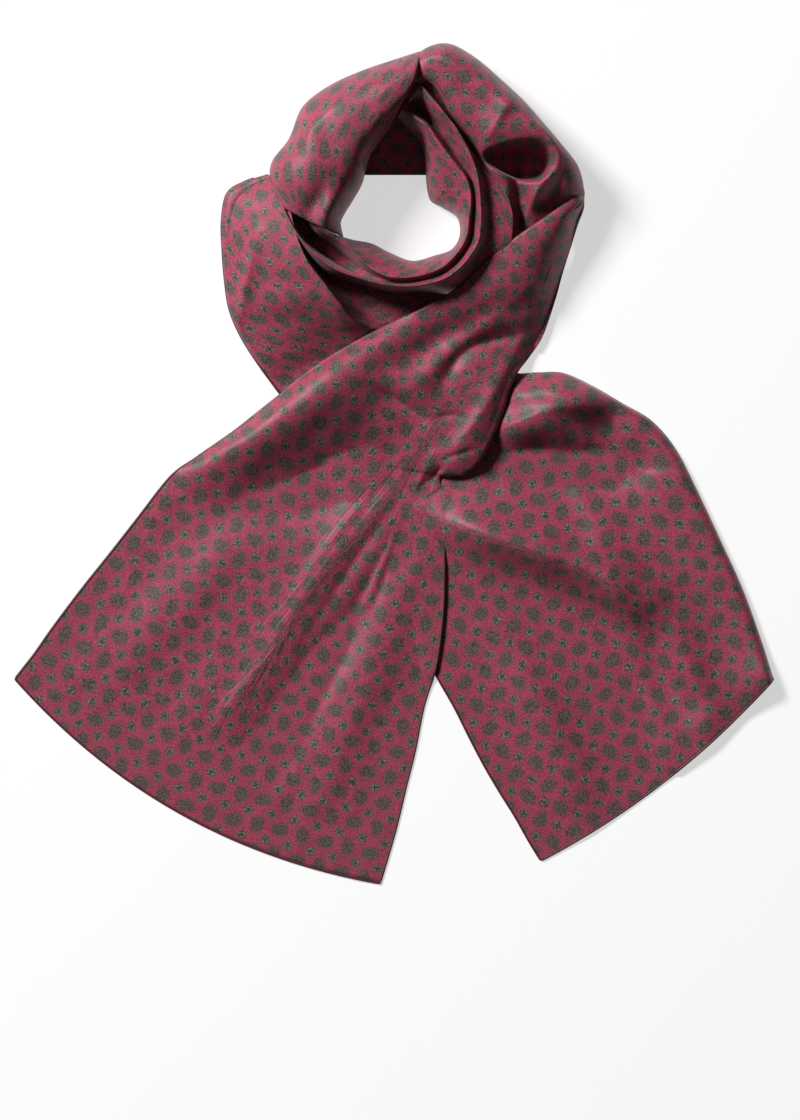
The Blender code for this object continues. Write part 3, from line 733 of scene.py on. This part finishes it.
loopColumns = "outX outY outZ topX topY topZ inX inY inZ"
crownRight = table(
    loopColumns,
    [
        (114, 162, 4, 101, 157, 20.4, 84, 146, 20.2),
        (124.5, 174, 1, 105, 171, 26, 80, 157, 25),
        (125, 182, 0.4, 105, 184, 37, 75.5, 168, 28),
        (121, 196, 0.4, 103, 202, 43, 70, 181, 28),
        (110, 210, 0.4, 97, 214, 46, 61, 191.5, 28),
        (99, 223, 0.4, 86, 223, 48, 54, 205, 29),
        (86, 238, 0.4, 74, 231, 49, 47, 215, 30),
        (70, 253, 0.4, 60, 239, 50, 41, 223, 30),
        (55, 266, 0.4, 48, 248, 50, 36, 231, 31),
        (41, 274.6, 0.4, 38, 256, 50, 32, 240, 33),
        (31, 276.3, 0.4, 28, 261, 48, 25, 248, 36),
        (20, 272.5, 0.4, 18, 260, 45, 17, 250, 34),
        (9, 263, 0.4, 7, 256, 38, 2, 246, 29),
        (-4, 258, 0.4, -6, 252, 30, -10, 240, 24),
    ],
)
crownLeft = table(
    loopColumns,
    [
        (15, 270.5, 0.4, 12, 250, 50, -5, 218, 0.4),
        (1, 266, 0.4, -7, 236, 52, -14, 206, 0.4),
        (-20, 259, 0.4, -22, 224, 52, -18, 197, 0.4),
        (-42, 249, 0.4, -35, 212, 52, -21, 185, 0.4),
        (-60, 235, 0.4, -45, 201, 51, -27, 174, 0.4),
        (-69, 214, 0.4, -51, 189, 50, -32, 166, 0.4),
        (-80, 199, 5, -55, 178, 48, -35, 160, 0.4),
        (-81, 186, 17, -57, 169, 45, -35, 156, 0.4),
        (-75, 171, 23.5, -56, 161, 42, -34, 151.5, 0.4),
    ],
)
crownLeftFolds = {
    "left crease": ([(-52, 236, -0.5), (-44, 214, -1.5), (-36, 196, -1)], 9, 9),
    "corner fold": ([(-34, 176, 2), (-41, 166, 5), (-46, 157, 4)], 5, 6),
    "corner hollow": ([(-44, 186, -2), (-50, 172, -4), (-56, 162, -2)], 6, 6),
    "thin crest": ([(2, 262, 0.3), (-24, 244, 1), (-50, 222, 1), (-68, 196, 0.3)], 5, 4, 0.6),
}
crownRightFolds = {
    "east ridge": ([(103, 214, 2), (105, 205, 4), (104.5, 197, 5), (101, 189, 5), (94, 178, 4),
                    (89, 166, 3), (84, 156, 1.5)], 9, 3.5, 0.5),
    "west ridge": ([(56, 205, 1), (64, 217, 3), (71, 229, 3.5), (80, 242, 0.5)], 8, 5, 0.5),
    "rim above the pocket": ([(60, 210, 1), (72, 217, 2), (88, 218, 2), (100, 214, 2)], 8, 6),
    "valley by the lips": ([(38, 226, -2), (50, 211, -5), (58, 194, -5), (64, 184, -1)], 4.5, 4.5, 0.4),
    "valley east of the panel": ([(80, 188, -8), (81, 172, -15), (79, 158, -15),
                                  (77, 148, -8)], 6.5, 6, 0.2),
    "outer swell": ([(52, 254, 0.5), (78, 236, 3), (96, 219, 3), (106, 204, 1)], 9, 12),
    "top hollow": ([(22, 262, -1), (36, 250, -3), (52, 236, -3), (62, 226, -1)], 8, 9),
    "small slant": ([(112, 196, -0.5), (108, 182, -2), (100, 168, -1.5)], 3, 4, 0.5),
}
pocket = {
    "x": 81.5, "y": 197.5, "halfLong": 22.5, "halfShort": 12.0, "turn": math.radians(-6), "deep": 32.0,
}
crownLeftSize = {"rows": 90, "outer": 34, "inner": 44, "tuck": 0.0, "roll": 3.0}
crownRightSize = {"rows": 190, "outer": 26, "inner": 50, "tuck": 10.0, "roll": 0.0}
crownSquare = 0.75  # under 1 the walls stand steeper and the top is flatter


def pocketDepth(x, y):
    x, y = x - pocket["x"], y - pocket["y"]
    c, s = math.cos(pocket["turn"]), math.sin(pocket["turn"])
    along = (x * c + y * s) / pocket["halfLong"]
    halfShort = pocket["halfShort"] * (1 + 0.35 * np.clip(along, -1, 1))  # narrower to the west
    beside = (y * c - x * s) / halfShort
    soft = smooth(beside, -0.3, 0.6) * 0.2  # the north side goes in more gently
    return -pocket["deep"] * (1 - smooth((np.hypot(along, beside) - 0.72 + soft) / (0.34 + 2 * soft), 0, 1))


def arch(rows, size, height):
    s = sections(rows, size["rows"])
    up = np.linspace(0, math.pi / 2, size["outer"] + 1)[None, :]
    down = np.linspace(0, math.pi / 2, size["inner"] + 1)[None, 1:]
    one = np.ones((size["rows"], 1))
    away, rise = 1 - np.cos(up) ** crownSquare, np.sin(up) ** crownSquare
    along, fall = np.sin(down) ** crownSquare, np.maximum(np.cos(down), 0) ** crownSquare
    x, y = (
        np.hstack([between(s, "out", "top", axis, away), between(s, "top", "in", axis, along)])
        for axis in "XY"
    )
    z = np.hstack([between(s, "out", "top", "Z", rise), between(s, "in", "top", "Z", fall)])
    z = np.maximum(z + np.hstack([rise * one, fall * one]) * height(x, y), np.minimum(z, 5.0))
    grid = np.stack([x, y, z], -1)
    if size["tuck"]:  # the inner edge goes on below its neighbour
        inward = np.hstack([s["inX"] - s["topX"], s["inY"] - s["topY"]])
        inward /= np.linalg.norm(inward, axis=-1, keepdims=True)
        steps = np.linspace(0, 1, 5)[1:, None] * size["tuck"]
        tuck = np.stack([np.concatenate([inward * step, np.full((len(inward), 1), -0.5 * step)], 1)
                         for step in steps[:, 0]], 1)
        grid = np.concatenate([grid, grid[:, -1:] + tuck], 1)
    if size["roll"]:  # both ends go round and under
        grid = np.concatenate([rollEnd(grid[0], grid[1], size["roll"])[::-1], grid,
                               rollEnd(grid[-1], grid[-2], size["roll"])])
    return grid


def rollEnd(edge, before, radius):
    outward = (edge - before)[:, :2]
    outward /= np.maximum(np.linalg.norm(outward, axis=-1, keepdims=True), 1e-6)
    radius = np.minimum(radius, (edge[:, 2:] - 0.4) / 2.2)
    return np.stack(roundUnder(edge, outward, radius, 6))


def makeCrown(name, grid, prints, *nodes):
    piece = clothPiece(name, grid, prints)
    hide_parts(*nodes)
    return piece


leftPlain = arch(crownLeft, crownLeftSize, lambda x, y: 0 * x)
leftGrid = arch(crownLeft, crownLeftSize, lambda x, y: folds(x, y, crownLeftFolds))
lower = np.array([1.0, 1.0, 0.45])  # the print is laid out on a flatter arch
loopLeft = makeCrown("loopLeft", leftGrid, printByShape(leftPlain * lower, crownLeftSize["outer"], (3, 5)),
                     "loop_left", "hidden_layers")
rightPlain = arch(crownRight, crownRightSize, lambda x, y: 0 * x)
rightGrid = arch(crownRight, crownRightSize, lambda x, y: folds(x, y, crownRightFolds) + pocketDepth(x, y))
rightPrint = printStraight(rightPlain * lower, crownRightSize["outer"], 137, (6, 2)) * 1.1
loopRight = makeCrown("loopRight", rightGrid, rightPrint, "loop_right")


# the collar: two lips round the opening, and a groove between them

collarEdges = table(
    "outX outY outZ outerX outerY outerZ innerX innerY innerZ inX inY inZ groove lowest panel",
    [
        (-81, 194, 15, -79.5, 190, 22, -66, 186, 24, -52, 180, 12, 1, 0.3, 0),
        (-77, 174, 20, -75.5, 173, 31, -57, 172, 31, -44, 165, 12, 7, 0.3, 0),
        (-63, 146, 18, -61.5, 147, 38, -52, 156.5, 34, -39, 151.5, 0.95, 19, 0.28, 0),
        (-46, 126, 6, -42, 129.5, 40, -35, 146, 33, -28, 147.5, 0.95, 24, 0.28, 0),
        (-22, 118, 3, -21, 120.5, 41, -18, 130, 34, -15, 145, 0.95, 19, 0.28, 0),
        (-1, 113, 2, -1, 116, 41, -4, 122.5, 37, -3, 139, 0.95, 9, 0.4, 0),
        (19, 113.5, 2, 18, 116.3, 41, 12, 122, 38, 12, 133.5, 0.95, 5, 0.5, 0),
        (40, 112.5, 3, 34, 121, 41, 28, 126.5, 38, 27, 137, 0.95, 5, 0.5, 0),
        (57, 122, 6, 46, 130.5, 41, 38, 134, 38, 38, 141, 0.95, 5, 0.55, 0.2),
        (74, 137, 26, 55, 144, 41, 46.5, 146, 39, 43.5, 150, 0.95, 5, 0.65, 0.7),
        (78, 156, 32, 57, 158, 42, 49, 160, 40, 42, 162, 0.95, 5, 0.7, 1),
        (76, 171, 33, 56.5, 174, 43, 50, 176, 41, 32, 169, 0.95, 5, 0.7, 1),
        (70, 183, 33, 54, 191, 44, 46, 188, 41, 24, 174, 0.95, 7, 0.75, 1),
        (60, 192, 33, 48, 206, 45, 37, 199, 41, 21.5, 186, 0.95, 9, 0.75, 0.8),
        (51.2, 203.9, 28, 40, 220, 46, 29, 210, 40, 20.5, 200, 0.95, 11, 0.75, 0.3),
        (44.0, 213.6, 29, 32, 230, 46, 21, 221, 39, 17, 213, 0.95, 12, 0.75, 0),
        (30, 236, 30, 17, 248, 42, 5.5, 232, 35, 3, 227, 24, 9, 0.7, 0),
    ],
)
collarSize = {"rows": 220, "outer": 14, "over": 28, "inner": 24, "deeper": 1.5}


def makeCollar():
    size = collarSize
    s = sections(collarEdges, size["rows"])
    up = np.linspace(0, math.pi / 2, size["outer"] + 1)[None, :]
    over = np.linspace(0, 1, size["over"] + 1)[None, 1:]
    down = np.linspace(0, math.pi / 2, size["inner"] + 1)[None, 1:]
    x, y = (
        np.hstack([
            between(s, "out", "outer", axis, 1 - np.cos(up)),
            between(s, "outer", "inner", axis, over),
            between(s, "inner", "in", axis, np.sin(down)),
        ])
        for axis in "XY"
    )
    rising = np.minimum(1 - s["lowest"], 0.35)
    dip = smooth(over / s["lowest"], 0.05, 1) * smooth((1 - over) / rising, 0.05, 1) * size["deeper"]
    fromFoot = 1 - np.cos(up)
    wall = 0.25 * np.sin(up) + 0.75 * up / (math.pi / 2)
    panel = 0.15 * fromFoot + 0.85 * smooth(fromFoot, 0.78, 1)  # nearly flat, and then the lip stands up
    z = np.hstack([
        between(s, "out", "outer", "Z", wall * (1 - s["panel"]) + panel * s["panel"]),
        s["outerZ"] * (1 - over) + s["innerZ"] * over - s["groove"] * dip,
        between(s, "in", "inner", "Z", 0.35 * np.cos(down) + 0.65 * (1 - down / (math.pi / 2))),
    ])
    grid = np.stack([x, y, np.maximum(z, 0.6)], -1)
    piece = clothPiece("loopCollar", grid, printByShape(grid, size["outer"] + size["over"] // 2, (2, 4)))
    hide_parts("loop_collar")
    return piece


loopCollar = makeCollar()

insideEdges = table(
    "leftX leftY leftZ rightX rightY rightZ",
    [
        (-22, 190.3, 0.8, 22, 190.3, 0.8),
        (-21, 198, 1.6, 23, 198, 1.6),
        (-20, 206, 3, 23, 206, 3),
        (-18, 214, 5, 22, 214, 5),
        (-15, 222, 7, 22, 222, 7),
        (-12, 231, 9, 24, 231, 9),
        (-8, 241, 11, 28, 241, 11),
        (-4, 251, 13, 32, 250, 13),
    ],
)


def makeInside():
    s = sections(insideEdges, 40)
    u = np.linspace(0, 1, 24)[None, :]
    grid = np.stack([s["left" + axis] * (1 - u) + s["right" + axis] * u for axis in "XYZ"], -1)
    piece = clothPiece("loopInside", grid, printByShape(grid, 12))
    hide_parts("loop_inside")
    return piece


loopInside = makeInside()
print("cloth made")


# hems: a rolled edge and its slip stitches, coloured dark red as painted edge shade

hemLook = {
    "wide": 1.7, "high": 1.3, "around": 8, "step": 2.0, "lowest": 0.75,
    "stitchGap": 4.6, "stitchLength": 1.5, "stitchThick": 0.32, "stitchSlant": 24, "stitchLift": 0.3,
}


def tube(points, wide, high, around):
    points = np.asarray(points, float)
    along = np.gradient(points, axis=0)
    along /= np.linalg.norm(along, axis=-1, keepdims=True)
    up = np.array([0.0, 0.0, 1.0])
    beside = np.cross(up, along)
    beside /= np.linalg.norm(beside, axis=-1, keepdims=True)
    above = np.cross(along, beside)
    angles = np.linspace(0, 2 * math.pi, around, endpoint=False)
    rings = np.stack([points + beside * wide / 2 * math.cos(angle) + above * high / 2 * math.sin(angle)
                      for angle in angles], 1)
    count = len(points)
    number = np.arange(count * around).reshape(count, around)
    after = np.roll(number, -1, axis=1)
    faces = np.stack([number[:-1], after[:-1], after[1:], number[1:]], -1).reshape(-1, 4).tolist()
    return rings.reshape(-1, 3), faces + [number[0, ::-1].tolist(), number[-1].tolist()]


def evenPath(points, step):
    points = np.asarray(points, float)
    place = np.concatenate([[0], np.cumsum(np.linalg.norm(np.diff(points, axis=0), axis=-1))])
    wanted = np.linspace(0, place[-1], max(3, int(place[-1] / step)))
    return np.stack([np.interp(wanted, place, points[:, k]) for k in range(3)], -1)


def stitchTree():
    group = bpy.data.node_groups.new("hem stitches", "GeometryNodeTree")
    face = group.interface
    face.new_socket("Path", in_out="INPUT", socket_type="NodeSocketGeometry")
    ids = {}
    for name, value in (("Gap", hemLook["stitchGap"] * mm), ("Length", hemLook["stitchLength"] * mm),
                        ("Thickness", hemLook["stitchThick"] * mm),
                        ("Slant", math.radians(hemLook["stitchSlant"]))):
        socket = face.new_socket(name, in_out="INPUT", socket_type="NodeSocketFloat")
        socket.default_value = value
        ids[name] = socket.identifier
    ids["Thread"] = face.new_socket("Thread", in_out="INPUT", socket_type="NodeSocketMaterial").identifier
    face.new_socket("Stitches", in_out="OUTPUT", socket_type="NodeSocketGeometry")
    t = Tree(group)
    given = t.node("NodeGroupInput").outputs
    curve = t.node("GeometryNodeMeshToCurve", sockets={"Mesh": given["Path"]})
    spaced = t.node("GeometryNodeResampleCurve", {"mode": "LENGTH"},
                    {"Curve": curve.outputs["Curve"], "Length": given["Gap"]})
    ball = t.node("GeometryNodeMeshUVSphere", sockets={"Segments": 6, "Rings": 5, "Radius": 0.5})
    size = t.node("ShaderNodeCombineXYZ",
                  sockets={0: given["Thickness"], 1: given["Thickness"], 2: given["Length"]})
    shaped = t.node("GeometryNodeTransform",
                    sockets={"Geometry": ball.outputs["Mesh"], "Scale": size.outputs[0]})
    tangent = t.node("GeometryNodeInputTangent")
    aligned = t.node("FunctionNodeAlignEulerToVector", {"axis": "Z"}, {"Vector": tangent.outputs[0]})
    slant = t.node("ShaderNodeCombineXYZ", sockets={0: given["Slant"]})
    turn = t.node("FunctionNodeRotateEuler", {"space": "LOCAL"},
                  {"Rotation": aligned.outputs[0], "Rotate By": slant.outputs[0]})
    placed = t.node("GeometryNodeInstanceOnPoints",
                    sockets={"Points": spaced.outputs["Curve"], "Instance": shaped.outputs["Geometry"],
                             "Rotation": turn.outputs[0]})
    real = t.node("GeometryNodeRealizeInstances", sockets={"Geometry": placed.outputs["Instances"]})
    painted = t.node("GeometryNodeSetMaterial",
                     sockets={"Geometry": real.outputs["Geometry"], "Material": given["Thread"]})
    t.node("NodeGroupOutput", sockets={"Stitches": painted.outputs["Geometry"]})
    return group, ids


def stitchesAlong(name, path):
    path = evenPath(path + [0, 0, hemLook["stitchLift"]], hemLook["step"])
    mesh = bpy.data.meshes.new(name)
    mesh.from_pydata((path * mm).tolist(), [(k, k + 1) for k in range(len(path) - 1)], [])
    guide = addObject(name, mesh)
    modifier = guide.modifiers.new("stitches", "NODES")
    modifier.node_group = stitches
    modifier[stitchIds["Thread"]] = hemSilkPaintedShade
    for key in ("Gap", "Length", "Thickness", "Slant"):
        modifier[stitchIds[key]] = stitches.interface.items_tree[key].default_value
    graph = bpy.context.evaluated_depsgraph_get()
    made = bpy.data.meshes.new_from_object(guide.evaluated_get(graph))
    bpy.data.objects.remove(guide)
    made.shade_smooth()
    piece = addObject(name, made)
    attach(piece, "root")
    print(f"{name}: {sum(len(f.vertices) - 2 for f in made.polygons)} triangles")
    return piece


def hemAlong(name, path):
    path = np.column_stack([path[:, :2], np.maximum(path[:, 2], hemLook["lowest"])])
    points, faces = tube(evenPath(path, hemLook["step"]), hemLook["wide"], hemLook["high"], hemLook["around"])
    mesh = bpy.data.meshes.new(name)
    mesh.from_pydata((points * mm).tolist(), [], faces)
    mesh.shade_smooth()
    mesh.materials.append(hemSilkPaintedShade)
    piece = addObject(name, mesh)
    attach(piece, "root")
    return piece


hemFrom = int(len(frontTop) * 0.53)  # below here the left edge lies on the table
flareFrom = int(len(frontTop) * 0.66)  # below here the right edge is the hem again
backFrom = int(len(backTop) * 0.1)
frontLoop = np.concatenate([frontTop[hemFrom:, 0], frontTop[-1, 1:-1], frontTop[flareFrom:, -1][::-1]])
backLoop = np.concatenate([backTop[backFrom:, 0], backTop[-1, 1:]])
frontHem = hemAlong("frontTailHem", frontLoop)
backHem = hemAlong("backTailHem", backLoop)
shoulderHem = hemAlong("shoulderHem", shoulderGrid[6:, 0])
stitches, stitchIds = stitchTree()
frontIn = np.concatenate([frontTop[hemFrom:, 3], frontTop[-3, 4:-4], frontTop[flareFrom:, -4][::-1]])
backIn = np.concatenate([backTop[backFrom:, 2], backTop[-2, 3:-1]])
frontStitch = stitchesAlong("frontTailStitches", frontIn)
backStitch = stitchesAlong("backTailStitches", backIn)
print("hems made")


# floor, light and camera

tableLook = {"half": 4.0, "colour": (0.4, 0.4, 0.405, 1.0), "glow": 0.6}
windowLook = {"place": (-2.75, 2.25, 2.8), "size": 1.1, "power": 310.0, "colour": (1.0, 0.985, 0.97)}
roomLight = 0.06
cameraLook = {"x": 0.004, "y": -0.0637, "height": 5.0, "seenHeight": 0.7392, "sensor": 36.0}


def makeFloor():
    mesh = bpy.data.meshes.new("floor")
    half = tableLook["half"]
    corners = [(-half, -half, 0), (half, -half, 0), (half, half, 0), (-half, half, 0)]
    mesh.from_pydata(corners, [], [(0, 1, 2, 3)])
    floor = addObject("floor", mesh)
    s = Shader("white table")
    s.set(Base_Color=tableLook["colour"], Roughness=0.8, Specular_IOR_Level=0.1)
    s.set(Emission_Color=(1.0, 1.0, 1.0, 1.0), Emission_Strength=tableLook["glow"])
    mesh.materials.append(s.material)


def addWindow():  # the one light, aimed at the middle of the table
    light = bpy.data.lights.new("window", "AREA")
    light.size, light.energy, light.color = (windowLook[key] for key in ("size", "power", "colour"))
    lamp = addObject("window", light)
    lamp.location = windowLook["place"]
    lamp.rotation_euler = (-Vector(windowLook["place"])).to_track_quat("-Z", "Y").to_euler()


makeFloor()
addWindow()
world = bpy.data.worlds.new("studio")
world.use_nodes = True
background = world.node_tree.nodes["Background"]
background.inputs["Color"].default_value = (1.0, 1.0, 1.0, 1.0)
background.inputs["Strength"].default_value = roomLight
bpy.context.scene.world = world
bpy.context.scene.view_settings.view_transform = "Standard"

lens = bpy.data.cameras.new("camera")
lens.sensor_fit = "VERTICAL"
lens.sensor_width = lens.sensor_height = cameraLook["sensor"]
lens.lens = cameraLook["sensor"] * cameraLook["height"] / cameraLook["seenHeight"]
lens.clip_end = 50.0
camera = addObject("camera", lens)
camera.location = (cameraLook["x"], cameraLook["y"], cameraLook["height"])
bpy.context.scene.camera = camera

print("scene ready")
